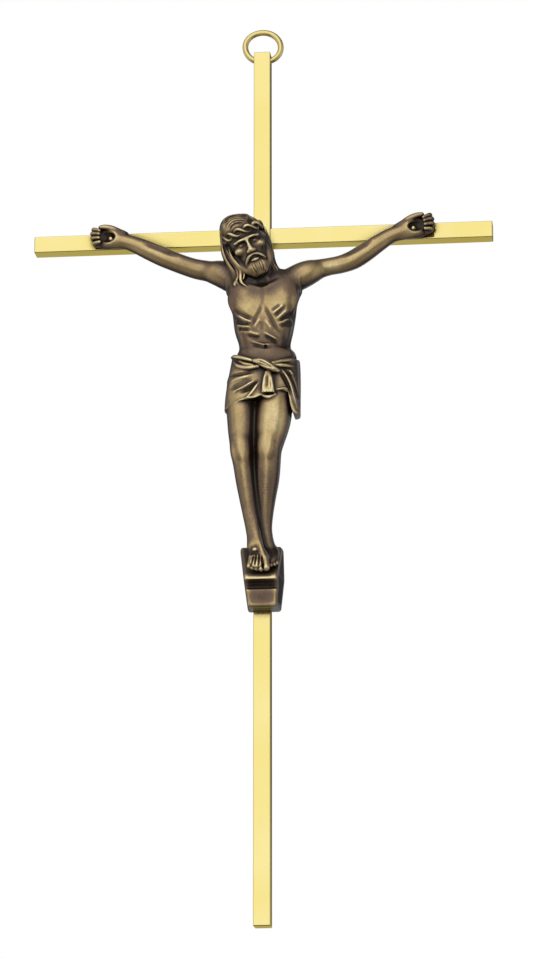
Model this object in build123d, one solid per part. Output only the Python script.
from build123d import *
import os
from math import asin, cos, degrees, radians

# A wall crucifix: two square brass bars half lapped into a cross, a cast figure
# nailed and screwed to them, a sloping block under the feet and a wire ring to hang it by.
# Millimetres. X runs to the viewer's right, Y to the wall and Z up.
# The origin is the centre of the crossing, on the flat back of the bars.

# Bars
BAR_SIDE = 4.7625
UPRIGHT_LENGTH = 254.0
CROSS_BAR_LENGTH = 131.4
CROSSING_DROP = 56.8
BAR_EDGE_RADIUS = 0.25
BAR_END_CHAMFER = 0.2

# Hanging ring, a bent wire whose butted ends lie in the cross hole
RING_WIRE = 1.7
RING_LONG_AXIS = 10.6
RING_SHORT_AXIS = 9.9
RING_END_RADIUS = 4.4
RING_SKEW = 30.0
RING_LEAN = 9.0
RING_HOLE = 2.8
RING_HOLE_DROP = 2.0
RING_SEAT_CLEARANCE = 0.2
RING_BUTT_GAP = 0.2

# Figure, driven by the drop from the palm nails to the toe tips
CORPUS_DROP = 100.0
BOSS_DIAMETER = 4.4
BOSS_REACH = 4.5

# Foot block
BLOCK_TOP_WIDTH = 11.8
BLOCK_FOOT_WIDTH = 9.0
BLOCK_FOOT_SHIFT = 1.0
BLOCK_HEIGHT = 18.2
BLOCK_PLATFORM_FALL = 10.4
BLOCK_REACH = 8.6
BLOCK_LIP = 1.0
BLOCK_COVE_REACH = 5.4
BLOCK_COVE_HEIGHT = 3.0
BLOCK_FOOT_REACH = 4.5
BLOCK_CHEEK = 2.3
BLOCK_DRAFT = 8.0
BLOCK_CORNER_RADIUS = 1.2
BLOCK_EDGE_RADIUS = 0.35
BLOCK_SLOT_CLEARANCE = 0.03

# Nails and screws
HAND_NAIL_SHANK = 1.0
HAND_NAIL_HEAD = 1.7
HAND_NAIL_DOME = 0.5
HAND_NAIL_BITE = 3.2
PALM_HOLLOW = 3.4
PALM_HOLLOW_DEPTH = 2.0
FOOT_NAIL_SHANK = 0.8
FOOT_NAIL_HEAD = 1.3
FOOT_NAIL_DOME = 0.4
FOOT_NAIL_BITE = 1.4
INSTEP_SPOT_FACE = 1.6
INSTEP_SPOT_DEPTH = 2.0
SCREW_SHANK = 2.0
SCREW_HEAD = 3.6
SCREW_GRIP = 3.4
SCREW_SLOT_WIDTH = 0.5
SCREW_SLOT_DEPTH = 0.45
SCREW_CLEARANCE = 0.1
SCREW_END_CLEARANCE = 0.4
BODY_SCREW_DROP = 29.0
BLOCK_SCREW_RISE = 3.6

# One overrun serves every cut that runs out of a piece.
OVERRUN = 1.0

HALF_BAR = BAR_SIDE / 2
FRONT = -BAR_SIDE
UPRIGHT_TOP = CROSSING_DROP
UPRIGHT_MIDDLE = CROSSING_DROP - UPRIGHT_LENGTH / 2
RING_AXIS_HEIGHT = UPRIGHT_TOP - RING_HOLE_DROP

# Places on the figure as shares of the drop: across, proud of the bars, up from the nails.
left_palm_shares = (-0.432, 0.020, 0.003)
right_palm_shares = (0.433, 0.020, 0.003)
instep_shares = (-0.007, 0.086, -0.945)
sole_shares = (0.003, 0.088, -1.022)

# Stations along each limb: across, proud, up, half breadth, half depth.
trunk_shares = (
    (0.013, 0.055, -0.115, 0.070, 0.036),
    (0.015, 0.060, -0.160, 0.108, 0.050),
    (0.014, 0.064, -0.205, 0.100, 0.058),
    (0.012, 0.063, -0.270, 0.090, 0.058),
    (0.015, 0.056, -0.350, 0.072, 0.050),
    (0.016, 0.057, -0.410, 0.086, 0.052),
    (0.004, 0.060, -0.490, 0.088, 0.054),
)
neck_shares = (
    (0.013, 0.070, -0.195, 0.044, 0.038),
    (0.003, 0.086, -0.150, 0.036, 0.036),
    (-0.014, 0.098, -0.090, 0.036, 0.036),
)
left_arm_shares = (
    (-0.030, 0.055, -0.145, 0.050, 0.044),
    (-0.098, 0.052, -0.130, 0.040, 0.040),
    (-0.172, 0.045, -0.111, 0.028, 0.029),
    (-0.248, 0.037, -0.078, 0.028, 0.029),
    (-0.325, 0.030, -0.039, 0.026, 0.026),
    (-0.388, 0.022, -0.007, 0.021, 0.020),
    (-0.434, 0.019, 0.006, 0.024, 0.018),
)
right_arm_shares = (
    (0.060, 0.055, -0.145, 0.050, 0.044),
    (0.128, 0.052, -0.133, 0.039, 0.040),
    (0.195, 0.045, -0.114, 0.025, 0.028),
    (0.264, 0.037, -0.092, 0.028, 0.029),
    (0.331, 0.030, -0.046, 0.025, 0.026),
    (0.397, 0.022, -0.007, 0.021, 0.020),
    (0.428, 0.019, 0.006, 0.024, 0.018),
)
left_leg_shares = (
    (-0.042, 0.060, -0.470, 0.046, 0.048),
    (-0.050, 0.068, -0.550, 0.041, 0.044),
    (-0.048, 0.086, -0.640, 0.034, 0.036),
    (-0.045, 0.091, -0.680, 0.031, 0.033),
    (-0.038, 0.078, -0.750, 0.028, 0.031),
    (-0.027, 0.068, -0.820, 0.023, 0.025),
    (-0.015, 0.065, -0.880, 0.019, 0.020),
    (-0.006, 0.070, -0.935, 0.021, 0.021),
)
right_leg_shares = (
    (0.054, 0.060, -0.470, 0.046, 0.048),
    (0.050, 0.068, -0.560, 0.042, 0.044),
    (0.037, 0.084, -0.645, 0.030, 0.035),
    (0.034, 0.088, -0.680, 0.028, 0.032),
    (0.032, 0.074, -0.740, 0.026, 0.030),
    (0.021, 0.060, -0.820, 0.018, 0.023),
    (0.019, 0.049, -0.880, 0.017, 0.019),
    (0.024, 0.046, -0.930, 0.019, 0.019),
)
left_foot_shares = (
    (-0.008, 0.064, -0.915, 0.021, 0.023),
    (-0.004, 0.073, -0.950, 0.026, 0.019),
    (0.001, 0.081, -0.983, 0.029, 0.014),
    (0.002, 0.086, -1.001, 0.028, 0.010),
)
right_foot_shares = (
    (0.023, 0.044, -0.910, 0.019, 0.020),
    (0.030, 0.052, -0.945, 0.022, 0.017),
    (0.036, 0.064, -0.985, 0.020, 0.011),
)
# The cast web that closes the gap between the legs.
leg_web_shares = (
    (0.004, 0.030, -0.490, 0.014, 0.030),
    (-0.001, 0.030, -0.600, 0.011, 0.030),
    (-0.003, 0.028, -0.720, 0.009, 0.028),
    (0.000, 0.026, -0.860, 0.009, 0.026),
)
cloth_shares = (
    (0.017, 0.056, -0.376, 0.092, 0.050),
    (0.017, 0.058, -0.412, 0.098, 0.061),
    (0.011, 0.060, -0.465, 0.103, 0.062),
    (0.006, 0.062, -0.520, 0.104, 0.058),
)
cloth_corner_shares = (
    (0.075, 0.065, -0.440, 0.040, 0.052),
    (0.086, 0.062, -0.500, 0.027, 0.044),
    (0.097, 0.056, -0.553, 0.014, 0.026),
)
girdle_left_shares = (
    (-0.078, 0.078, -0.388, 0.011, 0.009),
    (-0.038, 0.111, -0.404, 0.012, 0.010),
    (0.006, 0.125, -0.418, 0.011, 0.010),
)
girdle_left_under_shares = (
    (-0.070, 0.090, -0.414, 0.009, 0.008),
    (-0.028, 0.117, -0.430, 0.010, 0.009),
    (0.012, 0.126, -0.428, 0.009, 0.008),
)
girdle_right_shares = (
    (0.112, 0.076, -0.398, 0.011, 0.009),
    (0.074, 0.109, -0.412, 0.012, 0.010),
    (0.030, 0.125, -0.422, 0.011, 0.010),
)
girdle_right_under_shares = (
    (0.110, 0.084, -0.422, 0.009, 0.008),
    (0.080, 0.110, -0.430, 0.010, 0.009),
    (0.042, 0.125, -0.434, 0.009, 0.008),
)
knot_shares = (
    (-0.004, 0.125, -0.412, 0.009, 0.009),
    (0.014, 0.134, -0.421, 0.013, 0.012),
    (0.034, 0.135, -0.432, 0.013, 0.012),
    (0.060, 0.124, -0.445, 0.007, 0.007),
)
left_fold_shares = (
    (0.004, 0.121, -0.452, 0.006, 0.006),
    (-0.030, 0.117, -0.480, 0.008, 0.007),
    (-0.075, 0.091, -0.498, 0.007, 0.007),
)
left_under_fold_shares = (
    (0.006, 0.121, -0.470, 0.006, 0.006),
    (-0.014, 0.119, -0.498, 0.008, 0.007),
    (-0.036, 0.113, -0.517, 0.006, 0.006),
)
right_fold_shares = (
    (0.062, 0.120, -0.438, 0.007, 0.007),
    (0.078, 0.108, -0.468, 0.008, 0.008),
    (0.090, 0.092, -0.506, 0.008, 0.009),
)
cloth_end_shares = (
    (0.019, 0.115, -0.415, 0.014, 0.012),
    (0.022, 0.112, -0.455, 0.020, 0.012),
    (0.026, 0.108, -0.503, 0.025, 0.012),
)
left_lock_shares = (
    (-0.070, 0.094, 0.000, 0.022, 0.030),
    (-0.088, 0.095, -0.055, 0.020, 0.030),
    (-0.078, 0.102, -0.105, 0.018, 0.024),
    (-0.056, 0.110, -0.145, 0.014, 0.016),
    (-0.044, 0.114, -0.190, 0.007, 0.008),
)
left_front_lock_shares = (
    (-0.082, 0.112, -0.060, 0.008, 0.010),
    (-0.072, 0.120, -0.100, 0.009, 0.010),
    (-0.045, 0.124, -0.142, 0.008, 0.008),
    (-0.038, 0.121, -0.168, 0.004, 0.004),
)
right_lock_shares = (
    (0.002, 0.094, -0.005, 0.018, 0.030),
    (0.022, 0.090, -0.055, 0.016, 0.030),
    (0.032, 0.088, -0.095, 0.014, 0.024),
    (0.048, 0.088, -0.127, 0.013, 0.016),
    (0.066, 0.086, -0.150, 0.006, 0.008),
)

# Ribs, the arch under the breastbone and the collar bones, raised under the skin.
rib_shares = (
    ((-0.066, 0.093, -0.258), (-0.046, 0.108, -0.275), (-0.016, 0.119, -0.290)),
    ((-0.060, 0.094, -0.288), (-0.042, 0.105, -0.300), (-0.022, 0.111, -0.305)),
    ((0.092, 0.093, -0.258), (0.070, 0.110, -0.272), (0.044, 0.119, -0.285)),
    ((0.091, 0.091, -0.284), (0.072, 0.105, -0.297), (0.052, 0.111, -0.304)),
    ((0.011, 0.119, -0.250), (-0.004, 0.119, -0.282), (-0.024, 0.111, -0.312), (-0.044, 0.098, -0.330)),
    ((0.021, 0.119, -0.250), (0.036, 0.119, -0.284), (0.054, 0.110, -0.314), (0.074, 0.095, -0.335)),
    ((0.003, 0.106, -0.194), (-0.040, 0.102, -0.180), (-0.086, 0.084, -0.154)),
    ((0.023, 0.106, -0.194), (0.066, 0.102, -0.180), (0.116, 0.084, -0.146)),
)
rib_radius_share = 0.006

# Toes of the front foot: across, proud and up at the root and at the tip, and the radius.
toe_shares = (
    (-0.020, 0.083, -0.976, -0.0255, 0.084, -0.994, 0.0055),
    (-0.011, 0.086, -0.977, -0.0160, 0.087, -0.999, 0.0060),
    (-0.002, 0.088, -0.978, -0.0050, 0.089, -1.003, 0.0062),
    (0.008, 0.088, -0.978, 0.0075, 0.090, -1.005, 0.0066),
    (0.018, 0.086, -0.976, 0.0220, 0.089, -1.001, 0.0090),
)

# Rounded masses: across, proud, up, then half breadth, half depth and half height.
muscle_shares = (
    (-0.036, 0.092, -0.214, 0.056, 0.031, 0.046),
    (0.066, 0.092, -0.216, 0.056, 0.031, 0.046),
    (0.017, 0.078, -0.378, 0.046, 0.030, 0.040),
)

# Head, turned as one: the crown leans to the viewer's left and bows forward.
head_place_shares = (-0.029, 0.104, -0.060)
skull_shares = (0.066, 0.068, 0.088)
HEAD_LEAN = 23.0
HEAD_BOW = 16.0
# Forward, up, half breadth, half depth and half height on the turned head.
beard_shares = (0.040, -0.072, 0.030, 0.028, 0.032)
nose_shares = (0.066, 0.000, 0.009, 0.013, 0.018)
band_height_share = 0.034
band_radius_share = 0.063
band_thickness_share = 0.009

# Hands: palm half sizes, then finger joints along, up across the palm and proud.
palm_shares = (0.034, 0.021, 0.029)
LEFT_PALM_TURN = 8.0
RIGHT_PALM_TURN = 16.0
FINGERS = 4
finger_pitch_share = 0.0135
finger_joint_shares = ((0.018, 0.014), (0.042, 0.018), (0.049, 0.032), (0.036, 0.041))
finger_radius_share = 0.0075
thumb_shares = (
    (-0.010, 0.022, 0.018, 0.011, 0.011),
    (0.004, 0.026, 0.031, 0.010, 0.010),
    (0.018, 0.030, 0.035, 0.007, 0.007),
)


def size(share):
    """A length on the figure from its share of the drop."""
    return share * CORPUS_DROP


def spot(across_share, proud_share, up_share):
    """A place on the figure from its shares of the drop."""
    return Vector(size(across_share), FRONT - size(proud_share), size(up_share))


def loft_along(places, half_sizes):
    """A smooth limb through ellipses square to the line of the places."""
    faces = []
    last = len(places) - 1
    for index, (place, (breadth, depth)) in enumerate(zip(places, half_sizes)):
        along = places[min(index + 1, last)] - places[max(index - 1, 0)]
        across = along.cross(Vector(0, 1, 0))
        faces.append(Plane(place, x_dir=across, z_dir=along) * Ellipse(breadth, depth))
    return loft(faces)


def limb(rows):
    """A limb of the figure from its table of stations."""
    places = [spot(*row[:3]) for row in rows]
    half_sizes = [(size(row[3]), size(row[4])) for row in rows]
    return loft_along(places, half_sizes)


def fused(pieces):
    """Pieces that overlap, joined one after another into one solid."""
    whole = pieces[0]
    for piece in pieces[1:]:
        whole += piece
    return whole


def mass(place, half_breadth, half_depth, half_height):
    """A rounded mass, an ellipsoid about a place."""
    return Pos(place) * scale(Sphere(1), by=(half_breadth, half_depth, half_height))


def square_bar(length):
    """Square bar stock along Z, its long edges rounded and its ends broken."""
    section = RectangleRounded(BAR_SIDE, BAR_SIDE, BAR_EDGE_RADIUS)
    bar = extrude(section, length / 2, both=True)
    ends = bar.faces().sort_by(Axis.Z)
    return chamfer(ends[0].edges() + ends[-1].edges(), BAR_END_CHAMFER)


def drilled(diameter, place, depth):
    """A round hole towards the wall, from a place on its open end."""
    return Pos(place) * Rot(-90, 0, 0) * Cylinder(
        diameter / 2, depth, align=(Align.CENTER, Align.CENTER, Align.MIN)
    )


def screw_recess(drop):
    """The hole of a countersunk screw through the upright, open at the back."""
    hole = drilled(SCREW_SHANK + 2 * SCREW_CLEARANCE, (0, FRONT - OVERRUN, drop), BAR_SIDE + OVERRUN)
    return hole + screw_head(drop, SCREW_CLEARANCE)


def screw_head(drop, clearance):
    """The 90 degree cone of a screw head, flush with the back of the bar."""
    wide = SCREW_HEAD / 2 + clearance
    narrow = SCREW_SHANK / 2 + clearance
    cone = Cone(narrow, wide, wide - narrow, align=(Align.CENTER, Align.CENTER, Align.MAX))
    return Pos(0, 0, drop) * Rot(-90, 0, 0) * cone


def screw(drop):
    """A slotted countersunk screw, driven from behind."""
    length = BAR_SIDE + SCREW_GRIP
    body = drilled(SCREW_SHANK, (0, -length, drop), length) + screw_head(drop, 0)
    slot = Box(SCREW_HEAD + OVERRUN, 2 * SCREW_SLOT_DEPTH, SCREW_SLOT_WIDTH)
    return body - Pos(0, 0, drop) * slot


def nail(place, shank, head, dome, length):
    """A dome headed pin driven towards the wall, its head seated at the place."""
    ball = (head * head / 4 + dome * dome) / (2 * dome)
    cap = Pos(place) * Pos(0, ball - dome, 0) * Sphere(ball)
    cap &= drilled(head, place - Vector(0, dome, 0), dome)
    return cap + drilled(shank, place, length)


def nail_seat(place, shank, face, depth, length):
    """The hole of a nail and the round hollow that its head sits in."""
    return drilled(shank, place, length) + drilled(face, place - Vector(0, depth, 0), depth)


def ring_path():
    """A four centred oval, open at its lowest point, turned and leant as it hangs."""
    long_half = RING_LONG_AXIS / 2
    short_half = RING_SHORT_AXIS / 2
    end_offset = long_half - RING_END_RADIUS
    flat_radius = (end_offset**2 + short_half**2 - RING_END_RADIUS**2) / (2 * (short_half - RING_END_RADIUS))
    flat_offset = flat_radius - short_half
    flat_half = degrees(asin(end_offset / (flat_radius - RING_END_RADIUS)))
    # The lowest point of the turned oval lies on its flat underside.
    low = -90 + RING_SKEW
    gap = degrees(RING_BUTT_GAP / flat_radius) / 2
    under = CenterArc((0, flat_offset), flat_radius, low + gap, flat_half - RING_SKEW - gap)
    right = CenterArc((end_offset, 0), RING_END_RADIUS, -90 + flat_half, 180 - 2 * flat_half)
    top = CenterArc((0, -flat_offset), flat_radius, 90 - flat_half, 2 * flat_half)
    left = CenterArc((-end_offset, 0), RING_END_RADIUS, 90 + flat_half, 180 - 2 * flat_half)
    back = CenterArc((0, flat_offset), flat_radius, -90 - flat_half, flat_half + RING_SKEW - gap)
    lowest = flat_radius - flat_offset * cos(radians(RING_SKEW))
    return Wire([under, right, top, left, back]), lowest


def make_hanging_ring():
    """The wire, swept round its oval, low in the hole and leaning back about it."""
    path, lowest = ring_path()
    section = Plane(path @ 0, z_dir=path % 0) * Circle(RING_WIRE / 2)
    sunk = (RING_HOLE - RING_WIRE) / 2 - RING_SEAT_CLEARANCE
    upright = Pos(0, lowest - sunk, 0) * Rot(0, 0, -RING_SKEW)
    leant = Pos(0, -HALF_BAR, RING_AXIS_HEIGHT) * Rot(90 - RING_LEAN, 0, 0)
    return leant * upright * sweep(section, path=path)


PLATFORM_SLOPE = BLOCK_PLATFORM_FALL / BLOCK_REACH
BLOCK_TOP = size(sole_shares[2]) + PLATFORM_SLOPE * size(sole_shares[1])
BLOCK_BOTTOM = BLOCK_TOP - BLOCK_HEIGHT
BLOCK_SCREW_HEIGHT = BLOCK_BOTTOM + BLOCK_SCREW_RISE
BODY_SCREW_HEIGHT = -BODY_SCREW_DROP


def make_foot_block():
    """A drafted block with a sloping platform, a cove under its lip and a slot for the bar."""
    lip = BLOCK_TOP - BLOCK_PLATFORM_FALL
    cove = lip - BLOCK_LIP - BLOCK_COVE_HEIGHT
    profile = Polyline(
        (-BLOCK_CHEEK, BLOCK_TOP),
        (0, BLOCK_TOP),
        (BLOCK_REACH, lip),
        (BLOCK_REACH, lip - BLOCK_LIP),
        (BLOCK_COVE_REACH, cove),
        (BLOCK_FOOT_REACH, BLOCK_BOTTOM),
        (-BLOCK_CHEEK, BLOCK_BOTTOM),
        close=True,
    )
    side = Plane((0, FRONT, 0), x_dir=(0, -1, 0), z_dir=(-1, 0, 0))
    slab = extrude(side * make_face(profile), BLOCK_TOP_WIDTH, both=True)
    outline = make_face(
        Polyline(
            (-BLOCK_TOP_WIDTH / 2, BLOCK_TOP),
            (BLOCK_TOP_WIDTH / 2, BLOCK_TOP),
            (BLOCK_FOOT_SHIFT + BLOCK_FOOT_WIDTH / 2, BLOCK_BOTTOM),
            (BLOCK_FOOT_SHIFT - BLOCK_FOOT_WIDTH / 2, BLOCK_BOTTOM),
            close=True,
        )
    )
    outline = fillet(outline.vertices(), BLOCK_CORNER_RADIUS)
    rear = Plane((0, FRONT + BLOCK_CHEEK, 0), x_dir=(1, 0, 0), z_dir=(0, -1, 0))
    drafted = extrude(rear * outline, BLOCK_CHEEK + BLOCK_REACH + OVERRUN, taper=BLOCK_DRAFT)
    block = slab & drafted
    lips = block.edges().filter_by(Axis.X).group_by(Axis.Y)[0]
    block = fillet(lips, BLOCK_EDGE_RADIUS)
    slot_width = BAR_SIDE + 2 * BLOCK_SLOT_CLEARANCE
    slot = Box(slot_width, BAR_SIDE, BLOCK_HEIGHT + 2 * OVERRUN)
    return block - Pos(0, FRONT + HALF_BAR, (BLOCK_TOP + BLOCK_BOTTOM) / 2) * slot


def turned_head():
    """The head's own frame: Z to the crown, -Y out of the face."""
    return Pos(spot(*head_place_shares)) * Rot(0, -HEAD_LEAN, 0) * Rot(HEAD_BOW, 0, 0)


def make_head():
    """Skull with hair, beard, nose and the twisted band round the brow."""
    pieces = [mass((0, 0, 0), *[size(share) for share in skull_shares])]
    for forward_share, up_share, *half_shares in (beard_shares, nose_shares):
        place = (0, -size(forward_share), size(up_share))
        pieces.append(mass(place, *[size(share) for share in half_shares]))
    band = Torus(size(band_radius_share), size(band_thickness_share))
    pieces.append(Pos(0, 0, size(band_height_share)) * band)
    return turned_head() * fused(pieces)


def outward_hand():
    """An open palm with curled fingers and a thumb, pointing to the viewer's left from its nail."""

    def reach(along_share, proud_share, up_share):
        return Vector(-size(along_share), -size(proud_share), size(up_share))

    pieces = [mass(reach(palm_shares[0] / 2, palm_shares[1] / 2, 0), *[size(share) for share in palm_shares])]
    for finger in range(FINGERS):
        up_share = (finger - (FINGERS - 1) / 2) * finger_pitch_share
        places = [reach(along, proud, up_share) for along, proud in finger_joint_shares]
        radius = size(finger_radius_share)
        pieces.append(loft_along(places, [(radius, radius)] * len(places)))
        pieces.append(Pos(places[-1]) * Sphere(radius))
    thumb_places = [reach(*row[:3]) for row in thumb_shares]
    pieces.append(loft_along(thumb_places, [(size(row[3]), size(row[4])) for row in thumb_shares]))
    return fused(pieces)


def make_hand(palm_share, side, turn):
    """A hand at its palm nail, turned along its arm."""
    palm = spot(*palm_share)
    hand = outward_hand()
    if side > 0:
        hand = mirror(hand, Plane.YZ)
    return Pos(palm.X, FRONT, palm.Z) * Rot(0, -side * turn, 0) * hand


def hand_seat(palm_share):
    """The seat of a hand nail through a palm and into the cross bar."""
    length = size(palm_share[1]) + HAND_NAIL_BITE
    return nail_seat(spot(*palm_share), HAND_NAIL_SHANK, PALM_HOLLOW, PALM_HOLLOW_DEPTH, length)


def make_arm(rows, palm_share, side, turn):
    """An arm with its hand, hollowed and drilled for the nail."""
    return fused([limb(rows), make_hand(palm_share, side, turn)]) - hand_seat(palm_share)


def make_toe(*row):
    """A round toe from its root to its tip."""
    places = [spot(*row[:3]), spot(*row[3:6])]
    radius = size(row[6])
    return loft_along(places, [(radius, radius)] * len(places)) + Pos(places[1]) * Sphere(radius)


def make_corpus(block):
    """The figure as one casting, flat behind where it seats on the bars and the block."""
    body_tables = (
        trunk_shares, neck_shares, left_leg_shares, right_leg_shares, left_foot_shares, right_foot_shares,
        leg_web_shares, cloth_shares, cloth_corner_shares,
        girdle_left_shares, girdle_left_under_shares, girdle_right_shares, girdle_right_under_shares,
        knot_shares, left_fold_shares, left_under_fold_shares, right_fold_shares, cloth_end_shares,
    )
    lock_tables = (left_lock_shares, left_front_lock_shares, right_lock_shares)
    pieces = [limb(rows) for rows in body_tables]
    pieces.append(make_arm(left_arm_shares, left_palm_shares, -1, LEFT_PALM_TURN))
    pieces.append(make_arm(right_arm_shares, right_palm_shares, 1, RIGHT_PALM_TURN))
    pieces += [limb(rows) for rows in lock_tables]
    for row in muscle_shares:
        pieces.append(mass(spot(*row[:3]), *[size(share) for share in row[3:]]))
    for rows in rib_shares:
        pieces.append(limb([(*row, rib_radius_share, rib_radius_share) for row in rows]))
    pieces += [make_toe(*row) for row in toe_shares]
    pieces.append(make_head())
    pieces.append(drilled(BOSS_DIAMETER, (0, FRONT - BOSS_REACH, BODY_SCREW_HEIGHT), BOSS_REACH))
    figure = fused(pieces)
    behind = Box(2 * CROSS_BAR_LENGTH, 2 * BAR_SIDE, 2 * UPRIGHT_LENGTH)
    figure -= Pos(0, FRONT + BAR_SIDE, 0) * behind
    return figure - block


def make_all():
    """Every piece by name, each fitted to its neighbours."""
    left = spot(*left_palm_shares)
    right = spot(*right_palm_shares)
    instep = spot(*instep_shares)
    hand_length = size(left_palm_shares[1]) + HAND_NAIL_BITE
    platform_proud = (BLOCK_TOP - instep.Z) / PLATFORM_SLOPE
    foot_length = FRONT - platform_proud - instep.Y + FOOT_NAIL_BITE
    left_nail = nail(left, HAND_NAIL_SHANK, HAND_NAIL_HEAD, HAND_NAIL_DOME, hand_length)
    right_nail = nail(right, HAND_NAIL_SHANK, HAND_NAIL_HEAD, HAND_NAIL_DOME, hand_length)
    foot_nail = nail(instep, FOOT_NAIL_SHANK, FOOT_NAIL_HEAD, FOOT_NAIL_DOME, foot_length)
    body_screw = screw(BODY_SCREW_HEIGHT)
    block_screw = screw(BLOCK_SCREW_HEIGHT)

    lap = Box(BAR_SIDE, BAR_SIDE, BAR_SIDE)
    upright = Pos(0, -HALF_BAR, UPRIGHT_MIDDLE) * square_bar(UPRIGHT_LENGTH)
    upright -= lap
    upright -= Pos(0, -HALF_BAR, RING_AXIS_HEIGHT) * Rot(0, 90, 0) * Cylinder(RING_HOLE / 2, 2 * BAR_SIDE)
    for height in (BODY_SCREW_HEIGHT, BLOCK_SCREW_HEIGHT):
        upright -= screw_recess(height)
    cross = Pos(0, -HALF_BAR, 0) * Rot(0, 90, 0) * square_bar(CROSS_BAR_LENGTH)
    cross -= Pos(0, -BAR_SIDE, 0) * lap

    block = make_foot_block()
    corpus = make_corpus(block)
    thread_end = FRONT - SCREW_GRIP - SCREW_END_CLEARANCE
    corpus -= drilled(SCREW_SHANK, (0, thread_end, BODY_SCREW_HEIGHT), -thread_end)
    block -= drilled(SCREW_SHANK, (0, thread_end, BLOCK_SCREW_HEIGHT), -thread_end)
    for palm_share in (left_palm_shares, right_palm_shares):
        cross -= hand_seat(palm_share)
    foot_seat = nail_seat(instep, FOOT_NAIL_SHANK, INSTEP_SPOT_FACE, INSTEP_SPOT_DEPTH, foot_length)
    corpus -= foot_seat
    block -= foot_seat
    return {
        "upright_bar": upright,
        "cross_bar": cross,
        "hanging_ring": make_hanging_ring(),
        "corpus": corpus,
        "foot_block": block,
        "left_hand_nail": left_nail,
        "right_hand_nail": right_nail,
        "foot_nail": foot_nail,
        "body_screw": body_screw,
        "block_screw": block_screw,
    }


os.makedirs("parts", exist_ok=True)
for name, shape in make_all().items():
    export_step(shape, f"parts/{name}.step")
